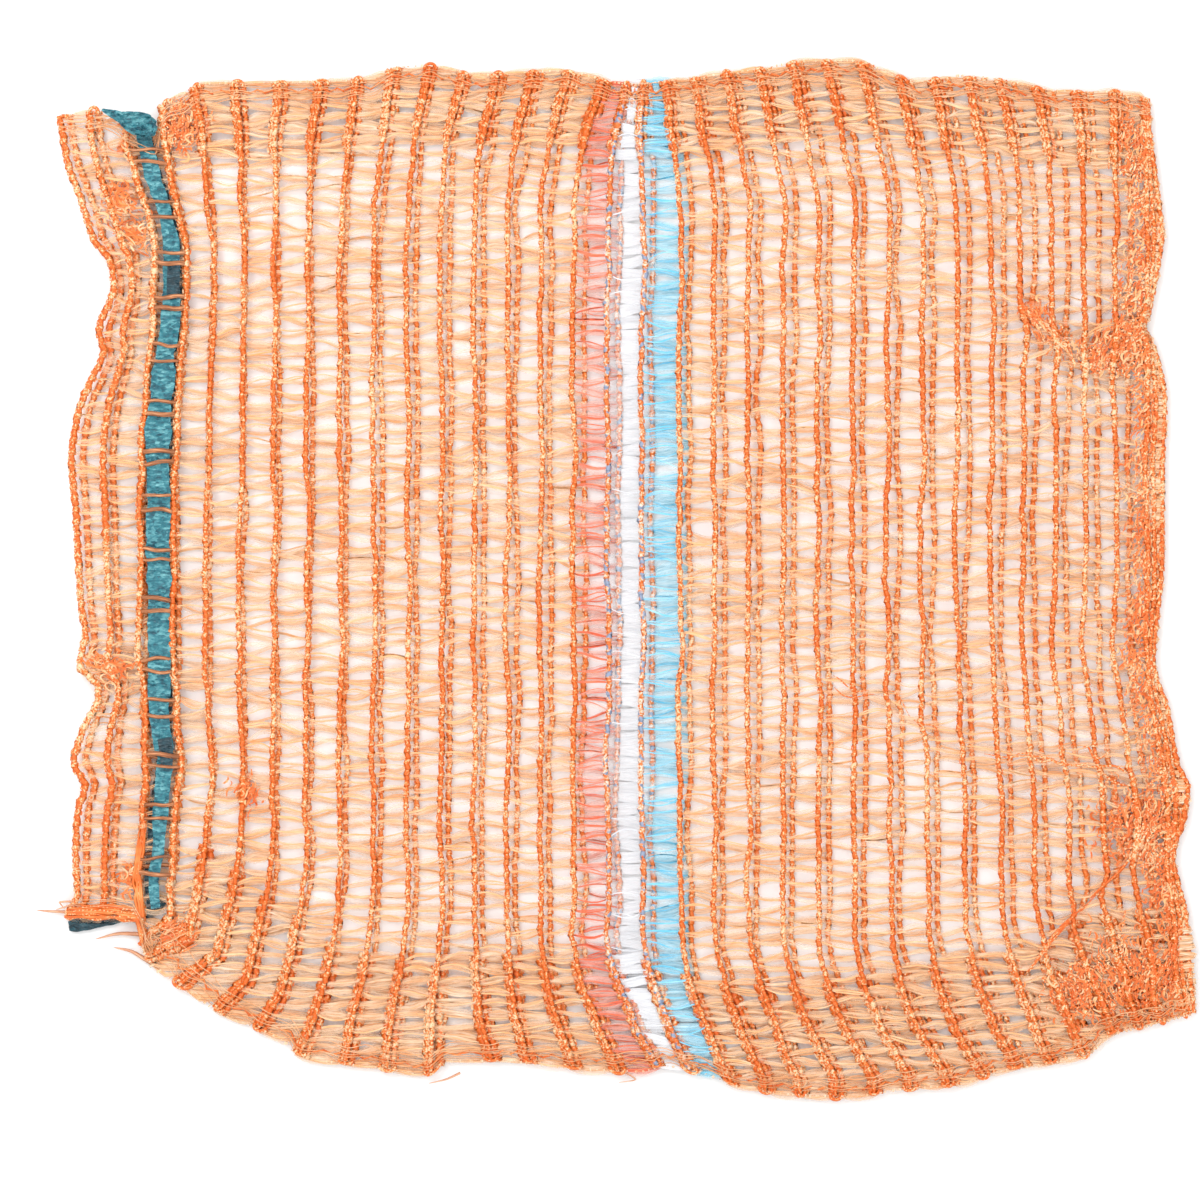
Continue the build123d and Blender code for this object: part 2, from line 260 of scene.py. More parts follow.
def along_crease(x, y, line):
    """The offset in x and in y from the nearest point of a bent line, the distance to it, and how far
    along the line it is, from 0 to 1."""
    points = np.array(line, float)
    best = np.full(np.shape(x), 1e9)
    dx = np.zeros(np.shape(x))
    dy = np.zeros(np.shape(x))
    share = np.zeros(np.shape(x))
    count = len(points) - 1
    for i in range(count):
        a, b = points[i], points[i + 1]
        span = b - a
        s = np.clip(((x - a[0]) * span[0] + (y - a[1]) * span[1]) / (span @ span), 0, 1)
        ox, oy = x - (a[0] + s * span[0]), y - (a[1] + s * span[1])
        distance = np.hypot(ox, oy)
        nearer = distance < best
        best = np.where(nearer, distance, best)
        dx, dy = np.where(nearer, ox, dx), np.where(nearer, oy, dy)
        share = np.where(nearer, (i + s) / count, share)
    return dx, dy, best, share


def creased(x, y):
    """Pulls points in towards the creases, and gives how high the net stands there."""
    lift = np.zeros(np.shape(x))
    for line, reach, pull, height in CREASES:
        dx, dy, distance, share = along_crease(x, y, line)
        near = np.exp(-(distance / reach) ** 2) * (0.35 + 0.65 * np.sin(np.pi * np.clip(share, 0.02, 0.98)))
        x = x - dx * pull * near
        y = y - dy * pull * near
        lift = lift + height * near ** 2
    return x, y, lift


def chain_line(layer, u, y):
    """The x of the net at a chain number and a y. Numbers below 0 are in the rim, -1 at its edge, and
    numbers past the last chain run to the bottom fold."""
    middle = np.interp(np.maximum(u, 0), np.arange(LAST_CHAIN + 1), CHAIN_PLACES)
    channel = np.interp(u, [0, 1, 2, 3, 4], [1, 0.8, 0.3, 0.1, 0])
    x = middle + channel * (TAPE_PATH(y) - TAPE_X)
    start = LEAN_START(middle)
    x = x + LEAN_AT_RIGHT(middle) * np.clip((y - 88) / 32, 0, 1.2) ** 1.4
    x = x + LEAN_AT_LEFT(middle) * np.clip((-y - start) / (118 - start), 0, 1.1) ** 1.5
    x = x + DRIFT(middle) * ramp(-y, 15, 62)
    x = x - CORNER_TURN(middle) * np.maximum(-y - CORNER_START(middle), 0)
    x = x + 0.7 * SWAY[layer](u * 0.45 + 7, y / 15) + 0.35 * SWAY[layer](u * 1.3, y / 5)
    if layer == "rear":
        x = x + REAR_OFFSET(middle)
    x = np.minimum(x, FOLD_EDGE(y) - CREASED_PITCH * 0.62 * (LAST_CHAIN + 1.2 - u))
    x = x + np.clip(u - LAST_CHAIN, 0, 1) * (FOLD_EDGE(y) - 0.7 - x)
    rim = MOUTH_CHAIN_X + TAPE_PATH(y) - TAPE_X
    return np.where(u < 0, rim + np.clip(-u, 0, 1) * (RIM_EDGE(y) - rim), x)


def seam_table(layer, edge, inner, outer):
    """Where each chain of a layer crosses an edge, found by halving the stretch between two y."""
    u = SEAM_STEPS
    inner, outer = np.full(u.shape, inner), np.full(u.shape, outer)
    for _ in range(16):
        middle = (inner + outer) / 2
        inside = np.abs(middle) < np.abs(edge(chain_line(layer, u, middle)))
        inner, outer = np.where(inside, middle, inner), np.where(inside, outer, middle)
    return inner


SEAM_STEPS = np.linspace(-1.0, LAST_CHAIN + 1.2, 1289)
SEAMS = {layer: (seam_table(layer, LEFT_EDGE, -60.0, -132.0), seam_table(layer, RIGHT_EDGE, 90.0, 132.0))
         for layer in ("front", "rear")}


def seam_ends(layer, u):
    """The y where a chain meets the left seam, and where it meets the right seam."""
    left, right = SEAMS[layer]
    return np.interp(u, SEAM_STEPS, left), np.interp(u, SEAM_STEPS, right)


def swell(u, y, left, right):
    """How far the two layers stand apart, from 0 at the seams and the fold to 1."""
    side = np.maximum(np.minimum(y - left, right - y), 0)
    fold = np.maximum((LAST_CHAIN + 0.7 - u) * NEAR_FOLD_PITCH, 0)
    return (1 - np.exp(-side / SWELL_FROM_SEAM)) * (1 - np.exp(-fold / SWELL_FROM_FOLD))


def place(layer, u, y, depth=None):
    """Points of a layer at chain number u and at y, kept between the seams. Depth runs from the rear
    layer, 0, to the front one, 1."""
    u, y = np.broadcast_arrays(np.asarray(u, float), np.asarray(y, float))
    left, right = seam_ends(layer, u)
    y = np.clip(y, left, right)
    x = chain_line(layer, u, y)
    open_ = swell(u, y, left, right)
    y = y + (0.9 * WAVES[layer](u * 0.3, y / 30) + 0.5 * WAVES[layer](u * 1.9 + 9, y / 3.7)) * open_
    waves = RUMPLE["front"](x / 24, y / 24) + 0.45 * RUMPLE["front"](x / 9, y / 9)
    x, y, lift = creased(x, y)
    front = FRONT_HEIGHT + (FRONT_SWELL + FRONT_WAVES * waves + lift) * open_ + CREASE_AT_SEAM * lift
    rear = REAR_HEIGHT + REAR_WAVES * (1 + RUMPLE["rear"](x / 18, y / 18)) + REAR_SEAM_RISE * (1 - open_)
    if depth is None:
        depth = 1.0 if layer == "front" else 0.0
    return np.stack([x, y, rear + (front - rear) * depth], axis=-1)


def stretch_of(layer, u, flap):
    """The y from one end of a yarn to the other: the whole layer, or a flap along one seam."""
    left, right = (float(edge) for edge in seam_ends(layer, u))
    if flap == "right":
        left = right - ALLOWANCE_DEPTH["right"]
    elif flap == "left":
        right = left + ALLOWANCE_DEPTH["left"]
    return left, right


# ---- meshes

def frames(line):
    """The sideways and the upward direction along lines of points."""
    forward = np.gradient(line, axis=-2)
    forward /= np.maximum(np.linalg.norm(forward, axis=-1, keepdims=True), 1e-9)
    side = np.cross(forward, np.broadcast_to([0.0, 0.0, 1.0], line.shape))
    side /= np.maximum(np.linalg.norm(side, axis=-1, keepdims=True), 1e-9)
    return side, np.cross(side, forward)


def sweep(line, half_width, half_thickness, ring, closed, material=0, twist=None):
    """Strips or tubes along many lines: line is (strands, points, 3) and ring the cross-section."""
    line = np.asarray(line, float)
    strands, points = line.shape[:2]
    side, up = frames(line)
    if twist is not None:
        turn = np.broadcast_to(twist, (strands, points))[..., None]
        side, up = side * np.cos(turn) + up * np.sin(turn), up * np.cos(turn) - side * np.sin(turn)
    ring = np.asarray(ring, float)
    if ring.ndim == 2:
        ring = np.broadcast_to(ring, (strands, points) + ring.shape)
    wide = np.broadcast_to(half_width, (strands, points))[..., None, None]
    thick = np.broadcast_to(half_thickness, (strands, points))[..., None, None]
    spots = (line[:, :, None, :] + side[:, :, None, :] * ring[..., :1] * wide
             + up[:, :, None, :] * ring[..., 1:] * thick)
    across = ring.shape[2]
    length = np.concatenate([np.zeros((strands, 1)), np.cumsum(
        np.linalg.norm(np.diff(line, axis=1), axis=-1), axis=1)], axis=1)
    number = np.arange(strands)[:, None]
    uv = np.stack([
        np.broadcast_to((length + number * 17.3)[..., None], spots.shape[:3]),
        ring[..., 0] * wide[..., 0] + number[..., None] * 5.7,
    ], axis=-1)
    index = np.arange(strands * points * across).reshape(strands, points, across)
    if closed:
        nxt = np.roll(index, -1, axis=2)
        a, b, c, d = index[:, :-1], nxt[:, :-1], nxt[:, 1:], index[:, 1:]
    else:
        a, b, c, d = index[:, :-1, :-1], index[:, :-1, 1:], index[:, 1:, 1:], index[:, 1:, :-1]
    quads = np.stack([a, b, c, d], axis=-1).reshape(-1, 4)
    if closed and across == 4:
        quads = np.concatenate([quads, index[:, 0, ::-1].reshape(-1, 4), index[:, -1].reshape(-1, 4)])
    return spots.reshape(-1, 3), quads, uv.reshape(-1, 2), material


def strip(line, half_width, material=0, twist=None):
    """Flat strips along many lines."""
    return sweep(line, half_width, 1.0, [(-1, 0), (1, 0)], False, material, twist)


def tube(line, half_width, half_thickness, material=0):
    """Flattened tubes along many lines."""
    return sweep(line, half_width, half_thickness, [(-1, 0), (0, 1), (1, 0), (0, -1)], True, material)


def new_object(name, data):
    """An object in the scene, with its data."""
    thing = bpy.data.objects.new(name, data)
    bpy.context.scene.collection.objects.link(thing)
    return thing


def mesh_piece(name, parts, materials):
    """One object from swept parts, in metres in the shared frame."""
    starts = np.cumsum([0] + [len(part[0]) for part in parts])
    spots = (np.concatenate([part[0] for part in parts]) + ORIGIN) * MM
    quads = np.concatenate([part[1] + start for part, start in zip(parts, starts)])
    uv = np.concatenate([part[2] for part in parts])
    material_index = np.concatenate([np.full(len(part[1]), part[3], np.int32) for part in parts])
    mesh = bpy.data.meshes.new(name)
    mesh.vertices.add(len(spots))
    mesh.vertices.foreach_set("co", spots.ravel())
    mesh.loops.add(quads.size)
    mesh.loops.foreach_set("vertex_index", quads.ravel().astype(np.int32))
    mesh.polygons.add(len(quads))
    mesh.polygons.foreach_set("loop_start", np.arange(0, quads.size, 4, dtype=np.int32))
    mesh.polygons.foreach_set("material_index", material_index)
    mesh.polygons.foreach_set("use_smooth", np.ones(len(quads), bool))
    mesh.uv_layers.new(name="yarn").data.foreach_set("uv", uv[quads.ravel()].ravel())
    for material in materials:
        mesh.materials.append(material)
    mesh.update()
    mesh.validate()
    return new_object(name, mesh)


def stitched(part):
    """A part whose colours repeat a stitch at a time, as a chain's do."""
    spots, quads, uv, material = part
    return spots, quads, uv / COURSE, material


# ---- materials

def linear(red, green, blue):
    """A colour from its sRGB values, 0 to 255."""
    return tuple(((c / 255 + 0.055) / 1.055) ** 2.4 if c > 10 else c / 255 / 12.92
                 for c in (red, green, blue)) + (1.0,)


class Shading:
    """The nodes of one material. An input is linked to another node's output or set to a value."""

    def __init__(self, name, roughness):
        self.material = bpy.data.materials.new(name)
        self.material.use_nodes = True
        self.tree = self.material.node_tree
        self.shader = self.tree.nodes["Principled BSDF"]
        self.put(self.shader, {"Roughness": roughness})

    def put(self, node, inputs):
        for name, value in inputs.items():
            if isinstance(value, bpy.types.NodeSocket):
                self.tree.links.new(value, node.inputs[name])
            else:
                node.inputs[name].default_value = value

    def add(self, kind, inputs, **settings):
        """The outputs of a new node, with its own settings made before its inputs."""
        node = self.tree.nodes.new("ShaderNode" + kind)
        for name, setting in settings.items():
            setattr(node, name, setting)
        self.put(node, inputs)
        return node.outputs

    def along_yarn(self):
        """Lengthwise and crosswise coordinates on the yarn, in millimetres or in stitches."""
        return self.add("UVMap", {}, uv_map="yarn")["UV"]

    def position(self):
        return self.add("TexCoord", {})["Object"]

    def noise(self, vector, scale, detail):
        return self.add("TexNoise", {"Vector": vector, "Scale": scale, "Detail": detail})["Fac"]

    def stretched(self, vector, scale):
        return self.add("Mapping", {"Vector": vector, "Scale": scale})["Vector"]

    def scaled(self, value, factor, plus):
        """A value times a factor, plus another value."""
        return self.add("Math", {0: value, 1: factor, 2: plus}, operation="MULTIPLY_ADD")["Value"]

    def blend(self, first, second, share):
        return self.add("Mix", {"Factor": share, "A": first, "B": second}, data_type="FLOAT")["Result"]

    def between(self, value, start, end, low=0.0, high=1.0):
        """From low, where a value is below start, to high, where it is past end."""
        limits = {"From Min": start, "From Max": end, "To Min": low, "To Max": high}
        return self.add("MapRange", {"Value": value, **limits})["Result"]

    def colours(self, value, low, middle, high):
        """The colour of a value, from three stops of a place and a colour."""
        node = self.tree.nodes.new("ShaderNodeValToRGB")
        self.put(node, {"Fac": value})
        stops = node.color_ramp.elements
        for number, (place_, colour) in enumerate((low, high)):
            stops[number].position = place_
            stops[number].color = linear(*colour)
        stops.new(middle[0]).color = linear(*middle[1])
        return node.outputs["Color"]

    def finish(self, colour, height, strength, distance):
        """Gives the surface its colour and its relief."""
        relief = self.add("Bump", {"Strength": strength, "Distance": distance, "Height": height})
        self.put(self.shader, {"Base Color": colour, "Normal": relief["Normal"]})
        return self.material


def yarn_material(name, dark, middle, light, roughness, across=2.2, opacity=None):
    """Flat polyethylene yarn: streaks along its length from its split film, and slow blotches."""
    shading = Shading(name, roughness)
    stretched = shading.stretched(shading.along_yarn(), (0.25, across, 1.0))
    streaks = shading.noise(stretched, scale=1.0, detail=3.0)
    blotches = shading.noise(shading.position(), scale=140.0, detail=2.0)
    shade = shading.blend(streaks, blotches, share=0.35)
    if opacity is not None:
        shading.put(shading.shader, {"Alpha": shading.between(streaks, 0.36, 0.62, *opacity)})
    colour = shading.colours(shade, (0.34, dark), (0.5, middle), (0.66, light))
    return shading.finish(colour, streaks, strength=0.25, distance=0.0003)


def chain_material(name, dark, light, pale_and_glint, dots=None):
    """Knitted flat yarn: finely speckled, each stitch a little darker over one half. Near-white speckles are
    partly thin see-through yarn and partly painted glints. Dots of another colour show where the yarn of a
    stripe is knitted in."""
    shading = Shading(name, roughness=0.34)
    stitch = shading.add("SeparateXYZ", {"Vector": shading.along_yarn()})["X"]
    position = shading.position()
    grain = shading.noise(position, scale=2100.0, detail=3.0)
    patches = shading.noise(position, scale=75.0, detail=2.0)
    phase = shading.scaled(grain, 3.0, shading.scaled(stitch, 2 * math.pi, 0.0))
    beads = shading.scaled(shading.add("Math", {0: phase}, operation="SINE")["Value"], 0.08, -0.75)
    shade = shading.scaled(grain, 1.7, shading.scaled(patches, 0.8, beads))
    colour = shading.colours(shade, (0.44, dark), (0.56, light), (0.74, pale_and_glint))
    if dots is not None:
        share = shading.between(shading.noise(position, scale=620.0, detail=1.0), 0.56, 0.62)
        colour = shading.add("Mix", {"Factor": share, 6: colour, 7: linear(*dots)}, data_type="RGBA")[2]
    return shading.finish(colour, grain, strength=0.3, distance=0.0002)


def weft_materials(name, film, fibre, web_opacity, film_opacity):
    """The three materials of a coloured weft tape: its sheer web, the tape and its dense fibres."""
    return (yarn_material(f"{name}_web", *film, 0.45, across=2.6, opacity=web_opacity),
            yarn_material(f"{name}_film", *film, 0.4, across=2.6, opacity=film_opacity),
            yarn_material(f"{name}_fibre", *fibre, 0.38))


# The colours of each weft tape and of the fibres in it, dark, middle and light.
FILMS = {
    "orange": ((247, 182, 124), (250, 204, 160), (253, 228, 202)),
    "red": ((248, 174, 154), (251, 196, 180), (253, 218, 206)),
    "white": ((226, 227, 231), (236, 237, 240), (245, 245, 247)),
    "blue": ((146, 216, 240), (186, 231, 246), (222, 244, 251)),
}
FIBRES = {
    "orange": ((240, 158, 92), (246, 186, 130), (252, 214, 172)),
    "red": ((228, 80, 42), (240, 112, 74), (248, 156, 124)),
    "white": ((212, 214, 220), (228, 229, 233), (244, 244, 246)),
    "blue": ((70, 186, 230), (118, 206, 238), (180, 230, 248)),
}
# How each is woven: its breadth against the plain weft's, its half-width where it enters a chain, the
# share of crossings that have a sheer web, how uneven it is and how many fibres show.
WEAVES = {
    "orange": {"breadth": 1.0, "entry": 0.34, "webs": 0.45, "uneven": 1.0, "fibres": (0.6, 0.35)},
    "red": {"breadth": 1.1, "entry": 0.36, "webs": 0.7, "uneven": 1.0, "fibres": (1.0, 0.6, 0.3)},
    "white": {"breadth": 3.0, "entry": 1.5, "webs": 0.3, "uneven": 0.4, "fibres": (0.3,)},
    "blue": {"breadth": 1.5, "entry": 0.5, "webs": 0.6, "uneven": 0.9, "fibres": (0.9, 0.5)},
}
# How opaque the web and the film of each tape are, at the least and at the most.
OPACITY = {
    "front": {"orange": ((0.02, 0.14), (0.16, 0.50)), "red": ((0.10, 0.30), (0.12, 0.40)),
              "white": ((0.04, 0.12), (0.08, 0.26)), "blue": ((0.04, 0.14), (0.10, 0.32))},
    "rear": {"orange": ((0.15, 0.40), (0.50, 0.92)), "red": ((0.20, 0.50), (0.30, 0.65)),
             "white": ((0.90, 1.00), (0.95, 1.00)), "blue": ((0.40, 0.70), (0.60, 0.95))},
    "flap": {"orange": ((0.30, 0.55), (0.50, 0.95)), "red": ((0.20, 0.50), (0.40, 0.80)),
             "white": ((0.80, 1.00), (0.90, 1.00)), "blue": ((0.30, 0.60), (0.50, 0.90))},
}
WEFTS = {(layer, colour): weft_materials(f"{layer}_{colour}", FILMS[colour], FIBRES[colour], *opacities)
         for layer, colours in OPACITY.items() for colour, opacities in colours.items()}
CHAIN_YARNS = {
    "front": (chain_material("front_chain", (232, 104, 28), (244, 148, 72), (254, 214, 170)),
              chain_material("front_stripe_chain", (234, 116, 48), (246, 164, 104), (252, 226, 206),
                             dots=(150, 164, 190))),
    # The rear layer's chain colours are painted lighter than the front's, to make up for the shade that the
    # front layer casts on them.
    "rear": (chain_material("rear_chain_painted_light", (240, 120, 42), (249, 164, 92), (255, 224, 186)),
             chain_material("rear_stripe_chain_painted_light", (240, 128, 62), (248, 176, 122), (253, 230, 214),
                            dots=(160, 182, 208))),
}
BRIDGE_YARN = yarn_material("bridge_yarn", (148, 92, 58), (196, 122, 76), (238, 172, 124), 0.4,
                            opacity=(0.62, 0.96))
SEAM_YARN = yarn_material("seam_yarn", (222, 88, 20), (238, 118, 44), (250, 168, 100), 0.36)
EDGE_YARN = yarn_material("edge_yarn", (216, 138, 84), (234, 168, 116), (250, 208, 168), 0.4)
LOOSE_YARN = yarn_material("loose_yarn", (214, 130, 84), (232, 164, 120), (246, 202, 168), 0.4,
                           opacity=(0.6, 0.95))


def tape_material(name, dark, middle, light):
    """Crinkled film: small flat facets that each catch the light a little differently, painted as facets a
    little lighter or darker, with painted highlights.
    """
    shading = Shading(name, roughness=0.3)
    flattened = shading.stretched(shading.position(), (0.55, 1.2, 1.0))
    facets = shading.add("TexVoronoi", {"Vector": flattened, "Scale": 1500.0})
    # Each facet's random tint is painted light and shade, for the way that facet catches the light.
    facet = shading.add("SeparateColor", {"Color": facets["Color"]})["Red"]
    shade = shading.blend(shading.noise(flattened, scale=800.0, detail=4.0), facet, share=0.3)
    colour = shading.colours(shade, (0.28, dark), (0.52, middle), (0.78, light))
    return shading.finish(colour, facets["Distance"], strength=0.7, distance=0.0006)


TEAL_FILM = tape_material("teal_film", (14, 78, 94), (48, 128, 142), (128, 196, 202))
SHADED_FILM = tape_material("shaded_film", (16, 42, 50), (28, 62, 74), (52, 96, 108))


# ---- the knit

def chain_parts(layer, u, seed, flap=None, depth=None, material=0, width=1.0):
    """One knitted chain: a flat yarn that loops from side to side, and its thin loops beside it."""
    start, end = stretch_of(layer, u, flap)
    stitches = max(2, round((end - start) / COURSE))
    turn = np.linspace(0, 2 * np.pi * stitches, stitches * STITCH_POINTS + 1)
    random = np.random.default_rng(seed)
    halves = np.linspace(0, turn[-1], 2 * stitches + 1)
    uneven = np.interp(turn, halves, random.uniform(0.3, 1.7, len(halves)))
    along = turn / (2 * np.pi) + 0.12 * np.sin(2 * turn)
    line = place(layer, u, start + (end - start) * along / stitches, depth)
    ahead = place(layer, u, start + (end - start) * (turn / (2 * np.pi)) / stitches, depth)
    side, _ = frames(ahead)
    loop = line + side * (width * LOOP_SWING * (1.3 - 0.3 * uneven) * np.cos(turn + 0.4))[:, None]
    line = line + side * (width * CHAIN_SWING * uneven * np.sin(turn))[:, None]
    line[:, 2] += 0.15 * np.cos(2 * turn + 0.6) + CHAIN_LIFT
    wide = width * YARN_HALF_WIDTH * (0.92 + 0.12 * np.cos(turn + 0.8) + 0.22 * (uneven - 1))
    wide = wide * (1 + BUNCHED_BREADTH * nearness(line[:, 0], line[:, 1], BUNCHES))
    parts = [tube(line[None], wide[None], YARN_HALF_THICKNESS, material),
             strip(loop[None], width * LOOP_HALF_WIDTH, material)]
    shift = 7.0 * random.integers(0, 500)
    stitched_parts = []
    for number, (spots, quads, uv, material) in enumerate(parts):
        stitch = np.repeat(turn / (2 * np.pi) + shift + number * 0.5, len(uv) // len(turn))
        stitched_parts.append((spots, quads, np.stack([stitch, uv[:, 1] + u * 3.7], axis=-1), material))
    return stitched_parts


def nearness(x, y, spots):
    """How near points are to any of some round spots, from 0 to 1."""
    most = np.zeros(np.shape(x))
    for cx, cy, radius in spots:
        most = np.maximum(most, np.exp(-(np.hypot(x - cx, y - cy) / radius) ** 2))
    return most


def weft_parts(layer, first, last, seed, colour="orange", flap=None, depth=None, lower=0.35, breadth=1.0):
    """The weft in one gap: a flat tape that zigzags between two chains, a course at a time. A crossing
    is the tape itself, thin dense fibres split from it and often a wide sheer web."""
    weave = WEAVES[colour]
    random = np.random.default_rng(seed)
    middle = (first + last) / 2
    low, high = stretch_of(layer, middle, flap)
    k = np.arange(math.floor(low / COURSE), math.ceil(high / COURSE))
    courses = len(k)
    uneven = weave["uneven"]
    rest = 0.36 + 0.24 * uneven * random.uniform(-1, 1, courses)
    step = 0.64 + 0.24 * uneven * random.uniform(-1, 1, courses)
    forward = (k % 2 == 0)
    at_first = np.where(forward, k + rest, k + step)
    at_last = np.where(forward, k + step, k + rest)
    stations = np.linspace(0, 1, WEFT_STATIONS)
    bend = stations - 0.05 * np.sin(2 * np.pi * stations)
    course = at_first[:, None] + (at_last - at_first)[:, None] * bend[None]
    arch = np.sin(np.pi * stations)
    course = course + 0.3 * uneven * random.uniform(-1, 1, (courses, 1)) * arch
    line = place(layer, first + (last - first) * stations[None], np.clip(course * COURSE, low, high), depth)
    line[..., 2] -= lower - 0.12 * random.uniform(-1, 1, (courses, 1)) * arch
    x, y = line[:, WEFT_STATIONS // 2, 0], line[:, WEFT_STATIONS // 2, 1]
    patch = RUMPLE[layer](middle * 0.6 + 3, y / 11 + 5)
    spread = 1.0 + uneven * (0.45 * patch + random.uniform(-0.4, 0.4, courses))
    broad = WEFT_HALF_WIDTH * breadth * weave["breadth"] * np.clip(spread, 0.4, 1.9)
    whole = 1 - nearness(x, y, HOLES)
    broad = broad * (1 + 0.5 * nearness(x, y, BUNCHES)) * whole + 0.04
    opened = np.sin(np.pi * np.clip(stations, 0.02, 0.98)) ** 0.55
    narrow = np.minimum(broad, weave["entry"])[:, None]
    half = narrow + (broad[:, None] - narrow) * opened[None]
    twist = random.uniform(-0.22, 0.22, (courses, 1))
    ring = np.zeros((courses, len(stations), 3, 2))
    ring[..., 0] = [-1.0, 0.0, 1.0]
    ring[..., 1, 1] = random.uniform(-0.35, 0.35, (courses, 1)) * opened
    parts = [sweep(line, half, 1.0, ring, False, 1, twist=twist)]

    sheer = random.random(courses) < weave["webs"]
    web = line - np.array([0.0, 0.0, WEB_DROP])
    web_half = half * 1.2 + random.uniform(0.2, 0.9, (courses, 1)) * opened * whole[:, None]
    web_half = np.clip(web_half, *WEB_HALF_WIDTH)
    parts.append(strip(web[sheer], web_half[sheer]))

    side, _ = frames(line)
    for share in weave["fibres"]:
        chosen = random.random(courses) < share
        offset = random.uniform(-1.1, 1.1, (courses, 1)) * broad[:, None] * opened[None]
        thread = line + side * offset[..., None]
        thread[..., 2] += FIBRE_LIFT
        width = random.uniform(*FIBRE_HALF_WIDTH, (courses, 1)) * (0.8 + 0.4 * opened)
        parts.append(strip(thread[chosen], width[chosen], 2))
    return parts


def chain_number(layer, x, y):
    """The chain number, whole or not, of the place at x and y, below 0 in the rim."""
    u = np.interp(x, CHAIN_PLACES, np.arange(LAST_CHAIN + 1.0))
    for _ in range(12):
        u = np.clip(u + 0.7 * (x - chain_line(layer, u, y)) / PITCH_MIDDLE, 0, LAST_CHAIN + 1)
    channel = chain_line(layer, 0.0, y)
    into_rim = (channel - x) / (channel - RIM_EDGE(y))
    return np.where(into_rim > 0, -np.minimum(into_rim, 1.0), u)


def tangle_parts(layer, first, last, seed, spots, materials, upright):
    """Short yarns bunched up between two chains where the net is crumpled, in several materials.
    Upright turns them from along the weft, 0, to along the chains, 1."""
    random = np.random.default_rng(seed)
    s = np.linspace(-0.5, 0.5, 6)
    lines, widths = [], []
    for cx, cy, radius in spots:
        count = int(radius * radius * TANGLES_PER_AREA)
        x = cx + random.normal(0, radius / 2.4, count)
        y = cy + random.normal(0, radius / 2.4, count)
        u = chain_number(layer, x, y)
        inside = (u > first) & (u < last)
        u, y = u[inside, None], y[inside, None]
        heading = random.normal(0, 0.5, u.shape) + upright * math.pi / 2
        length = random.uniform(*TANGLE_LENGTH, u.shape)
        curl = random.normal(0, 1.1, u.shape)
        ahead, aside = length * s, length * curl * (s * s - 0.1)
        forth = (ahead * np.cos(heading) - aside * np.sin(heading)) / PITCH_MIDDLE
        across = ahead * np.sin(heading) + aside * np.cos(heading)
        line = place(layer, np.minimum(u + forth, LAST_CHAIN + 1), y + across)
        line[..., 2] += random.uniform(-0.3, 0.4, u.shape) + TANGLE_LIFT
        lines.append(line)
        widths.append(random.uniform(*TANGLE_HALF_WIDTH, u.shape) * np.cos(np.pi * s * 0.9) ** 0.5)
    lines, widths = np.concatenate(lines), np.concatenate(widths)
    kind = random.integers(0, len(materials), len(lines))
    return [strip(lines[kind == i], widths[kind == i], material,
                  twist=random.uniform(-0.6, 0.6, ((kind == i).sum(), 1)))
            for i, material in enumerate(materials) if (kind == i).any()]


def crease_parts(layer, first, last, seed, material):
    """Yarns gathered side by side along each crease of the front layer, each for a part of its length."""
    random = np.random.default_rng(seed)
    lines = []
    for points, reach, pull, height in CREASES:
        whole = np.linspace(0, len(points) - 1, 40)
        path = [Curve(*enumerate(p[k] for p in points)) for k in range(2)]
        ends = chain_number(layer, path[0](whole), path[1](whole))
        if ends.min() < first or ends.max() > last + 1:
            continue
        for _ in range(int(60 * max(pull - 0.38, 0))):
            start = random.uniform(0.0, 0.75) * whole[-1]
            at = np.linspace(start, min(start + random.uniform(0.12, 0.3) * whole[-1], whole[-1]), 24)
            aside = 1.3 * random.normal() + 0.9 * np.sin(at * random.uniform(3.0, 9.0) + random.uniform(0, 6))
            x, y = path[0](at), path[1](at)
            line = place(layer, chain_number(layer, x, y) + 0.8 * aside / PITCH_MIDDLE, y + 1.2 * aside)
            line[:, 2] += 0.35
            lines.append(line)
    if not lines:
        return []
    taper = np.sin(np.pi * np.linspace(0.03, 0.97, 24)) ** 0.5
    half_width = 0.26 * taper[None] * random.uniform(0.5, 1.3, (len(lines), 1))
    return [tube(np.array(lines), half_width, 0.12, material)]


PIECES = {}


def add_piece(name, parts, materials, node, body="net_bag", gathers=True):
    """Builds a piece and puts it on its body, in place of its CAD node."""
    piece = mesh_piece(name, parts, materials)
    PIECES[name] = piece
    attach(piece, body)
    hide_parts(node)
    if gathers:
        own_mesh(piece)


ZONES = {
    "mouth_side_orange_weft": (1, RED_GAP, "orange"),
    "red_stripe_weft": (RED_GAP, WHITE_GAP, "red"),
    "white_stripe_weft": (WHITE_GAP, BLUE_GAP, "white"),
    "blue_stripe_weft": (BLUE_GAP, BLUE_GAP + 1, "blue"),
    "bottom_side_orange_weft": (BLUE_GAP + 1, LAST_CHAIN, "orange"),
}
LAYER_SEED = {"front": 1000, "rear": 2000}      # each kind of yarn adds a hundred of its own
TANGLE_YARNS = (2, 3, 3, 3, 4, 4, 4)            # the fibres, the seam yarn and the chain yarn of a panel


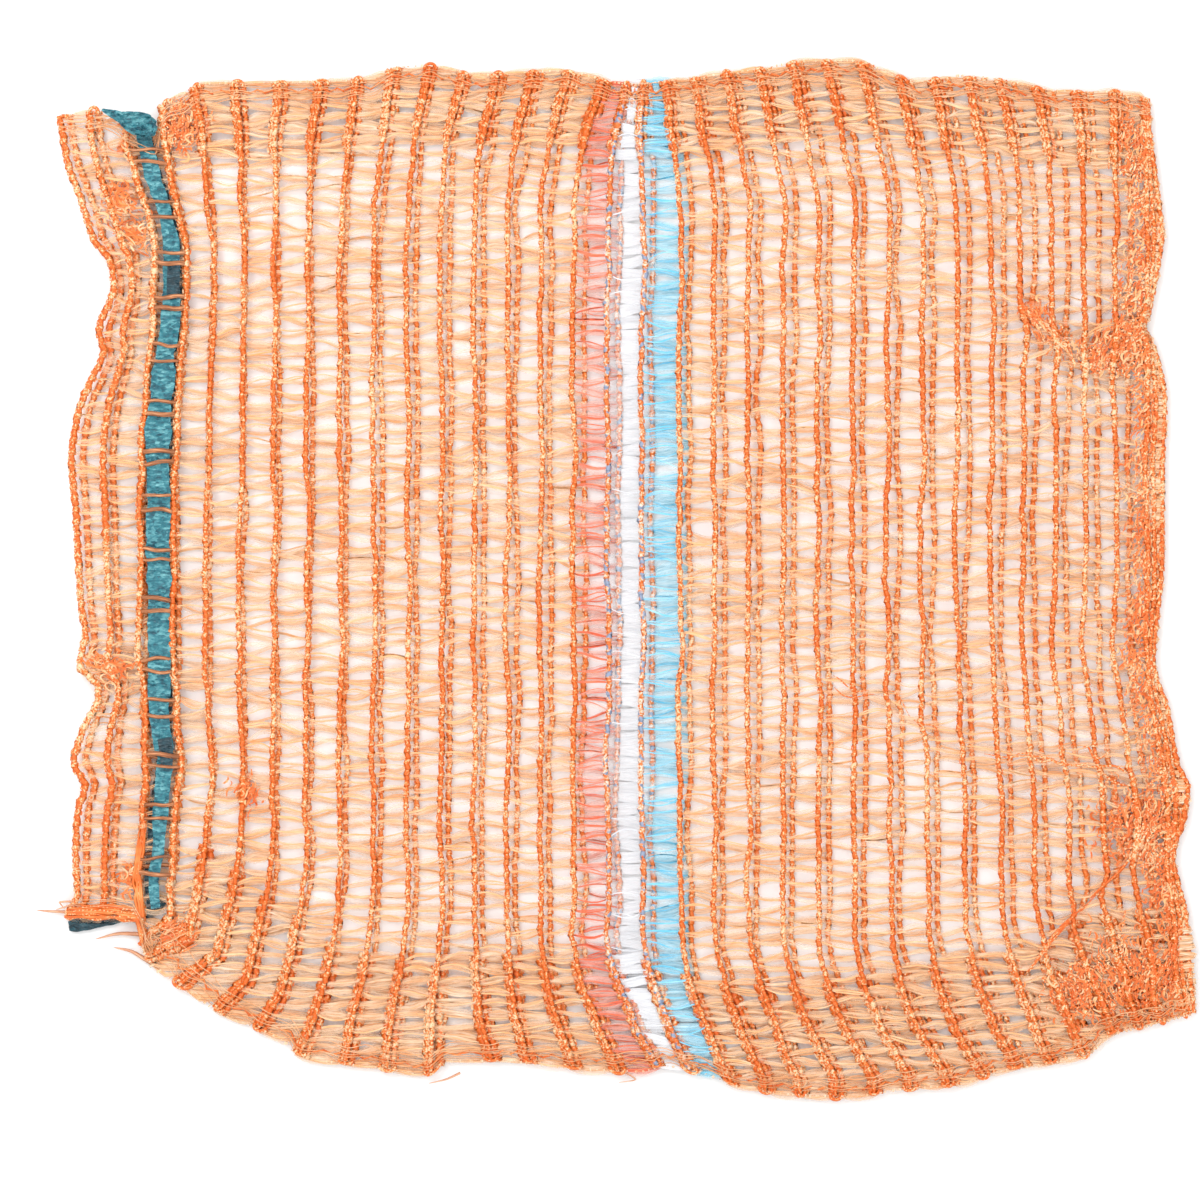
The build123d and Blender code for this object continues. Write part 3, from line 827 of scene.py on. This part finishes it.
def weft_panels(layer):
    """The weft of each colour, from the channel to the last chain."""
    for zone, (first, last, colour) in ZONES.items():
        parts = []
        for gap in range(first, last):
            parts += weft_parts(layer, gap, gap + 1, LAYER_SEED[layer] + gap, colour)
        materials = WEFTS[layer, colour]
        if colour == "orange":
            parts += tangle_parts(layer, first, last, LAYER_SEED[layer] + 300 + first, BUNCHES,
                                  TANGLE_YARNS, upright=0.8)
            materials = (*materials, SEAM_YARN, CHAIN_YARNS[layer][0])
            if layer == "front":
                parts += crease_parts(layer, first, last, LAYER_SEED[layer] + 400 + first, 4)
        add_piece(f"{layer}_{zone}_yarns", parts, materials, f"{layer}_{zone}")


def rim_weft(layer):
    """The weft of the rim, in the gaps from the edge of the mouth to the channel."""
    outer, inner = RIM_CHAINS[layer]
    parts = []
    for number, (first, last) in enumerate([(-outer, -inner), (-inner, 0.0)]):
        parts += weft_parts(layer, first, last, LAYER_SEED[layer] + 500 + number, breadth=1.3)
    parts += tangle_parts(layer, -0.96, 0.0, LAYER_SEED[layer] + 510, RIM_BUNCHES, (2, 3, 3), upright=1.0)
    add_piece(f"{layer}_rim_weft_yarns", parts, (*WEFTS[layer, "orange"], SEAM_YARN),
              f"{layer}_rim_weft")


def channel_weft(layer):
    """The weft under the draw tape."""
    parts = weft_parts(layer, 0, 1, LAYER_SEED[layer] + 600, lower=0.7)
    add_piece(f"{layer}_channel_weft_yarns", parts, WEFTS[layer, "orange"],
              f"{layer}_channel_weft")


def chains(layer):
    """Every chain of a layer, in the same groups as the CAD model."""
    groups = {
        "rim_chains": [-f for f in RIM_CHAINS[layer]],
        "channel_chains": [0, 1],
        "mouth_side_chains": range(2, WHITE_GAP),
        "stripe_chains": (WHITE_GAP, BLUE_GAP),
        "bottom_side_chains": range(BLUE_GAP + 1, LAST_CHAIN + 1),
    }
    for name, numbers in groups.items():
        material = CHAIN_YARNS[layer][1 if name == "stripe_chains" else 0]
        width = 1.3 if name in ("rim_chains", "channel_chains") else 1.0
        parts = [part for u in numbers
                 for part in chain_parts(layer, u, LAYER_SEED[layer] + 700 + int(u * 10), width=width)]
        add_piece(f"{layer}_{name}_yarns", parts, (material,), f"{layer}_{name}")


# ---- seams, flaps and the bottom fold

FLAP_LAYERS = ((0.34, 0.15), (0.68, -0.08))     # how high each flap lies, and its shift in chains
FLAP_CHAIN_WIDTH = {"right": 1.25, "left": 1.5}
SEWING_STITCH = 3.2
ZONE_OF_GAP = {RED_GAP: "red", WHITE_GAP: "white", BLUE_GAP: "blue"}


def allowance(side, seed):
    """The cut edges beyond a seam, folded inside the bag: a flap of each layer, in every colour."""
    parts = {colour: [] for colour in FILMS}
    chain_yarns = []
    for number, (depth, shift) in enumerate(FLAP_LAYERS):
        for gap in range(2, LAST_CHAIN):
            colour = ZONE_OF_GAP.get(gap, "orange")
            parts[colour] += weft_parts("front", gap + shift, gap + 1 + shift, seed + 100 * number + gap,
                                        colour, flap=side, depth=depth, breadth=0.8)
        for chain in range(2, LAST_CHAIN + 1):
            chain_yarns += chain_parts("front", chain + shift, seed + 500 + 100 * number + chain,
                                       flap=side, depth=depth, width=FLAP_CHAIN_WIDTH[side])
    for colour in FILMS:
        add_piece(f"{side}_allowance_{colour}_yarns", parts[colour], WEFTS["flap", colour],
                  f"{side}_seam_allowance")
    add_piece(f"{side}_allowance_chains_yarns", chain_yarns, (CHAIN_YARNS["front"][0],),
              f"{side}_seam_allowance")


def seam_line(side, u, inset, height):
    """Points along a seam, inset from the very edge. Height runs over the thickness of the seam."""
    left, right = seam_ends("front", u)
    y = right - inset if side == "right" else left + inset
    return np.stack([chain_line("front", u, y), y, SEAM_MIDDLE + height + 0 * y], axis=-1)


def turned_over(side, u, reach):
    """Short lines that turn over a seam from the front layer to the rear one."""
    bend = np.linspace(2.1, -2.1, 9)
    return seam_line(side, u[:, None] + 0 * bend, -reach[:, None] * np.cos(bend), np.sin(bend))


def side_seam(side, seed):
    """The edge of the bag along a side: wefts that turn over it, the looped ends of the chains and
    loose yarns that sag from chain to chain."""
    random = np.random.default_rng(seed)
    count = 6 * (LAST_CHAIN + 1)
    u = np.linspace(-0.95, LAST_CHAIN + 0.6, count) + random.uniform(-0.05, 0.05, count)
    wefts = turned_over(side, u, random.uniform(0.1, 0.5, count))
    parts = [strip(wefts, random.uniform(0.12, 0.35, (count, 1)))]

    ends = np.array([-0.95, -0.5, *range(LAST_CHAIN + 1)], float)
    round_ = np.linspace(0, np.pi, 11)
    half_foot = (0.14 + 0.05 * random.uniform(-1, 1, len(ends))) * np.where(ends < 0, 0.35, 1.0)
    foot = ends[:, None] + 0.02 + half_foot[:, None] * np.cos(round_)
    reach = random.uniform(0.5, 1.5, (len(ends), 1)) * np.sin(round_) ** 0.7
    arches = seam_line(side, foot, 0.9 - 1.2 * reach, 0.6)
    parts.append(stitched(tube(arches, random.uniform(0.3, 0.5, (len(ends), 1)), 0.2, 1)))

    along = np.linspace(-0.98, LAST_CHAIN + 0.75, 9 * (LAST_CHAIN + 2))
    noise = Noise(seed + 1)
    for number in range(6):
        sag = 0.7 * (1 - np.cos(2 * np.pi * along)) * (0.5 + 0.6 * noise(along * 0.5, number * 7.7))
        wave = 0.4 * noise(along * 2.2, number * 3.3)
        strand = seam_line(side, along, 0.1 + 0.75 * number + sag + wave, 0.2 + 0.35 * number)
        parts.append(tube(strand[None], 0.08 + 0.02 * (number % 3), 0.07, 3))
    if side == "left":
        hem = np.linspace(-1.0, 0.1, 70)
        for number in range(8):
            wave = 0.35 * noise(hem * 5, number * 5.1)
            height = 1.0 + 0.6 * np.sin(0.45 * number + 0.3)
            strand = seam_line(side, hem, -0.3 + 0.42 * number + wave, height)
            width = 0.34 + 0.24 * noise(hem * 9, number * 9.1)
            parts.append(tube(strand[None], width[None], 0.22, 1 + number % 2))
        leg = place("front", 0.0, np.linspace(-82.0, -58.0, 52))
        for number in range(5):
            shift = 0.36 * (number - 2) + 0.3 * noise(leg[:, 1] / 2, number * 6.3)
            strand = leg + np.stack([shift, 0 * shift, 0.3 + 0 * shift], axis=-1)
            width = 0.3 * ramp(-leg[None, :, 1], 57.5, 68.0) + 0.05
            parts.append(tube(strand[None], width, 0.18, 2))
    materials = (WEFTS["flap", "orange"][1], CHAIN_YARNS["front"][0], SEAM_YARN, EDGE_YARN)
    add_piece(f"{side}_side_seam_yarns", parts, materials, f"{side}_side_seam")


def sewing_thread(side, seed):
    """The line of sewing stitches beside a seam."""
    u = np.linspace(1.6, LAST_CHAIN + 0.3, 1100)
    length = u * PITCH_MOUTH
    turn = 2 * np.pi * length / SEWING_STITCH
    inset = 2.2 + 0.45 * np.sin(turn) + 0.4 * Noise(seed)(length / 25, 0)
    strand = seam_line(side, u + 0.25 / PITCH_MOUTH * np.sin(2 * turn), inset, 0.5 + 0.35 * np.cos(turn))
    add_piece(f"{side}_sewing_stitches", [tube(strand[None], 0.24, 0.14)], (SEAM_YARN,),
              f"{side}_seam_thread")


def bottom_fold():
    """The wefts that turn from the front layer to the rear one at the bottom of the bag, and the net
    crumpled along it."""
    random = np.random.default_rng(77)
    courses = np.arange(-104.0, 115.0, COURSE / 2)
    y = courses + random.uniform(-0.5, 0.5, len(courses))
    slant = random.uniform(-1.4, 1.4, (len(y), 1)) * np.linspace(0, 1, 9)
    y = y[:, None] + slant
    front, rear = place("front", LAST_CHAIN, y), place("rear", LAST_CHAIN, y)
    bend = np.linspace(0, np.pi, 9)
    start = np.where(bend < np.pi / 2, front[..., 0], rear[..., 0])
    out = FOLD_EDGE(y) - random.uniform(0.1, 0.8, (len(y), 1)) - start
    line = np.stack([start + out * np.sin(bend), front[..., 1],
                     front[..., 2] + (rear[..., 2] - front[..., 2]) * (1 - np.cos(bend)) / 2 - 0.2], axis=-1)
    parts = [strip(line, random.uniform(0.3, 0.9, (len(y), 1))),
             tube(line + np.array([0.1, 0.4, 0.05]), 0.13, 0.08, 1)]
    for number, u in enumerate((LAST_CHAIN + 0.45, LAST_CHAIN + 0.97)):
        parts += chain_parts("front", u, 78 + number, material=3)
    spots = [(FOLD_EDGE(y) - 4.5, y, 5.5) for y in range(-100, 114, 8)]
    parts += tangle_parts("front", 0, LAST_CHAIN + 1, 80, spots, (1, 2, 2, 3, 3), upright=0.7)
    materials = (*WEFTS["flap", "orange"][1:], SEAM_YARN, CHAIN_YARNS["front"][0])
    add_piece("bottom_fold_yarns", parts, materials, "bottom_fold")


# ---- draw tapes, bridges and loose ends

def smooth_line(points, count):
    """A smooth line through points in space."""
    at = np.linspace(0, len(points) - 1, count)
    return np.stack([Curve(*((i, p[k]) for i, p in enumerate(points)))(at) for k in range(3)], axis=-1)


def film_strip(line, half_width, seed, crinkle=0.22, material=0, wrinkle=1.0):
    """A crinkled strip of film along a line. Wrinkle is the size of its sharp creases."""
    across = np.linspace(-1, 1, 17)
    noise = Noise(seed)
    length = np.concatenate([[0], np.cumsum(np.linalg.norm(np.diff(line, axis=0), axis=1))])[:, None]
    half_width = np.broadcast_to(half_width, (len(line),))[:, None]
    ring = np.zeros((1, len(line), len(across), 2))
    ragged = 1 + 0.10 * noise(length / 2.3, 40.0) * np.abs(across) + 0.05 * noise(length / 0.8, across)
    ring[0, ..., 0] = across * ragged
    over = across * half_width
    slow = noise(length / 3.5 + 0.2 * over, over / 1.3)
    sharp = 1 - 2 * np.abs(noise((length + 0.8 * over) / wrinkle, (over - 0.3 * length) / wrinkle + 11))
    fine = 1 - 2 * np.abs(noise((length - 0.6 * over) / (0.55 * wrinkle) + 30, over / (0.6 * wrinkle)))
    ring[0, ..., 1] = crinkle * (slow + 0.8 * sharp + 0.45 * fine) - 0.08 * across ** 2
    return sweep(line[None], half_width.T, 1.0, ring, False, material)


def front_tape():
    """The front draw tape: sewn in at the left seam, free and crumpled past the right one."""
    y = np.linspace(TAPE_START + 1.0, 107.5, 560)
    bed = place("front", 0.5, y)
    noise = Noise(5)
    line = np.stack([TAPE_PATH(y) + 0.25 * noise(y / 6, 1), y, bed[:, 2] + TAPE_LIFT["front"]], axis=-1)
    parts = [film_strip(line, TAPE_WIDTHS(y) / 2 * (1 + 0.06 * noise(y / 4, 9)), 6)]
    # Where the tape folds over itself, a narrower strip of it lies on top in the shaded film: a real fold,
    # painted darker for its shade.
    for low, high in ((-45.5, -38.5), (67.5, 76.0)):
        some = (y > low) & (y < high)
        folded = line[some] + np.array([0.5, 0.0, 0.3])
        parts.append(film_strip(folded, TAPE_WIDTHS(y[some]) * 0.36, 7, material=1))
    end = smooth_line([(-112.2, 108.6, 4.2), (-114.5, 109.6, 5.4), (-117.0, 110.3, 5.8), (-120.5, 111.7, 5.2),
                       (-124.6, 113.4, 4.2)], 70)
    width = Curve((0, 1.9), (17, 2.9), (35, 2.5), (52, 1.4), (69, 0.35))(np.arange(70))
    parts.append(film_strip(end, width, 8, crinkle=0.42, wrinkle=0.8))
    above = end[:50] + np.array([0.6, -0.5, 0.9])
    parts.append(film_strip(above, width[:50] * 0.7, 9, crinkle=0.45, wrinkle=0.7))
    add_piece("front_draw_tape_film", parts, (TEAL_FILM, SHADED_FILM), "front_draw_tape",
              body="front_draw_tape", gathers=False)


def rear_tape():
    """The rear draw tape: sewn in at the right seam, with its free end turned aside under the rim."""
    y = np.linspace(107.0, -79.0, 300)
    bed = place("rear", 0.5, y)
    run = np.stack([TAPE_PATH(y) + 0.4 - 1.6 * ramp(-y, 35, 60), y, bed[:, 2] + TAPE_LIFT["rear"]], axis=-1)
    # The rear tape is all in the shaded film: painted shade, for it lies under the front layer.
    parts = [film_strip(run, TAPE_WIDTHS(y) / 2, 16, crinkle=0.15, material=1)]
    end = smooth_line([(-110.6, -78.0, 1.2), (-112.5, -80.8, 1.2), (-119.0, -81.8, 1.1), (-127.0, -83.6, 1.0),
                       (-133.0, -84.4, 1.0)], 90)
    width = Curve((0, 1.6), (30, 1.3), (60, 1.5), (84, 1.7), (89, 1.2))(np.arange(90))
    parts.append(film_strip(end, width, 17, crinkle=0.28, material=1))
    add_piece("rear_draw_tape_film", parts, (TEAL_FILM, SHADED_FILM), "rear_draw_tape",
              body="rear_draw_tape", gathers=False)


def bridges(layer, seed):
    """The yarns that cross over a draw tape, two by two, from one channel chain to the other."""
    random = np.random.default_rng(seed)
    middles = np.arange(BRIDGE_SPAN[0], BRIDGE_SPAN[1], BRIDGE_PITCH)
    middles = middles + random.uniform(-1.0, 1.0, len(middles))
    gap = random.uniform(1.1, 1.9, len(middles))
    y = np.concatenate([middles - gap, middles + gap])
    s = np.linspace(0, 1, 13)
    slant = random.uniform(-1.1, 0.5, (len(y), 1))
    y = y[:, None] + slant * (s - 0.5) + random.uniform(-0.25, 0.25, (len(y), 1)) * np.sin(2 * np.pi * s)
    line = place(layer, s[None], y)
    line[..., 2] += BRIDGE_LIFT[layer] * np.sin(np.pi * s) ** 0.6
    parts = [tube(line, random.uniform(0.36, 0.58, (len(y), 1)), 0.09)]
    add_piece(f"{layer}_tape_bridge_yarns", parts, (BRIDGE_YARN,), f"{layer}_tape_bridges")


def loose_ends():
    """Cut ends of yarn at the corners of the bag, tapering to frayed tips."""
    ends = [
        ([(-130.5, -81.0, 1.6), (-136.0, -80.9, 1.2), (-140.8, -80.6, 0.9)], 0.45),
        ([(-129.0, -80.4, 2.2), (-132.5, -78.4, 2.4), (-135.2, -78.6, 2.0), (-134.0, -80.2, 1.6)], 0.30),
        ([(-128.5, -80.6, 2.6), (-131.5, -79.2, 2.8), (-136.0, -80.4, 1.6)], 0.35),
        ([(-109.5, -90.0, 1.6), (-114.0, -86.6, 1.4), (-120.0, -86.2, 1.1), (-126.6, -87.6, 0.8)], 0.75),
        ([(-110.5, -94.5, 1.5), (-114.5, -92.4, 1.3), (-118.2, -90.4, 1.0), (-122.2, -89.6, 0.8)], 0.65),
        ([(-38.0, -120.0, 1.6), (-41.5, -121.6, 1.2), (-45.6, -122.6, 0.9)], 0.28),
        ([(1.5, -119.5, 1.6), (4.5, -121.6, 1.2), (0.5, -122.4, 0.9)], 0.22),
    ]
    parts = []
    for points, width in ends:
        line = smooth_line(points, 24)
        taper = width * np.linspace(1, 0.0, 24) ** 0.6 + 0.04
        parts.append(tube(line[None], taper[None], 0.12))
    add_piece("loose_yarn_tips", parts, (LOOSE_YARN,), "loose_yarn_ends")


# ---- the sheets

# Each sheet of net in a layer: its weft, the chains that it lies between and the other pieces on it.
SHEETS = (
    ("rim_weft", -1, 0, ("rim_chains", "channel_weft", "channel_chains", "tape_bridge")),
    ("mouth_side_orange_weft", 1, RED_GAP,
     ("mouth_side_chains", "red_stripe_weft", "white_stripe_weft", "stripe_chains")),
    ("bottom_side_orange_weft", BLUE_GAP + 1, LAST_CHAIN, ("blue_stripe_weft", "bottom_side_chains")),
)


def sheets():
    for layer in ("front", "rear"):
        for name, first, last, others in SHEETS:
            u = np.linspace(first, last, 50)
            width = np.ptp(chain_line(layer, u, 0.0)) * MM
            on_it = [PIECES[f"{layer}_{other}_yarns"] for other in others]
            if name == "rim_weft" and layer == "rear":
                on_it.append(PIECES["loose_yarn_tips"])
            if last == LAST_CHAIN and layer == "front":
                on_it.append(PIECES["bottom_fold_yarns"])
    for side, depth in ALLOWANCE_DEPTH.items():
        on_it = [PIECES[f"{side}_allowance_{name}_yarns"] for name in ("red", "white", "blue", "chains")]
        on_it += [PIECES[f"{side}_side_seam_yarns"], PIECES[f"{side}_sewing_stitches"]]


for which in ("rear", "front"):
    weft_panels(which)
    rim_weft(which)
    channel_weft(which)
    chains(which)
    bridges(which, LAYER_SEED[which] + 900)
for number, edge in enumerate(("right", "left")):
    allowance(edge, 3000 + 2000 * number)
    side_seam(edge, 7000 + number)
    sewing_thread(edge, 7100 + number)
bottom_fold()
front_tape()
rear_tape()
loose_ends()
sheets()


# ---- camera, floor and light

def camera():
    """Straight down on the net, which lies flat, with its mouth to the left."""
    lens = bpy.data.cameras.new("Camera")
    lens.lens_unit = "FOV"
    height, span, centre = 1.5, 0.2904, (-0.0041, -0.0053)
    lens.angle = 2 * math.atan(span / 2 / height)
    lens.clip_end = 10
    seen_from = new_object("Camera", lens)
    seen_from.location = (centre[0] + ORIGIN[0] * MM, centre[1] + ORIGIN[1] * MM, height + 0.005)
    bpy.context.scene.camera = seen_from


def floor():
    """A plain pale floor."""
    mesh = bpy.data.meshes.new("floor")
    corners = [(3.0 * x, 3.0 * y, 0) for x, y in ((-1, -1), (1, -1), (1, 1), (-1, 1))]
    mesh.from_pydata(corners, [], [(0, 1, 2, 3)])
    material = bpy.data.materials.new("floor")
    material.use_nodes = True
    shader = material.node_tree.nodes["Principled BSDF"]
    shader.inputs["Base Color"].default_value = (0.93, 0.93, 0.93, 1)
    shader.inputs["Roughness"].default_value = 0.9
    mesh.materials.append(material)
    new_object("floor", mesh)


def studio():
    """A square soft light from the upper left, and an even white surround."""
    world = bpy.data.worlds.new("studio")
    world.use_nodes = True
    surround = world.node_tree.nodes["Background"].inputs
    surround["Color"].default_value = (1, 1, 1, 1)
    surround["Strength"].default_value = 1.25
    bpy.context.scene.world = world
    bpy.context.scene.view_settings.view_transform = "Standard"

    key = bpy.data.lights.new("key", "AREA")
    key.size = 0.6
    key.energy = 26
    light = new_object("key", key)
    x, y, z = light.location = (-0.7, 0.8, 1.3)
    light.rotation_euler = (math.atan2(math.hypot(x, y), z), 0, math.atan2(-x, y))


camera()
floor()
studio()
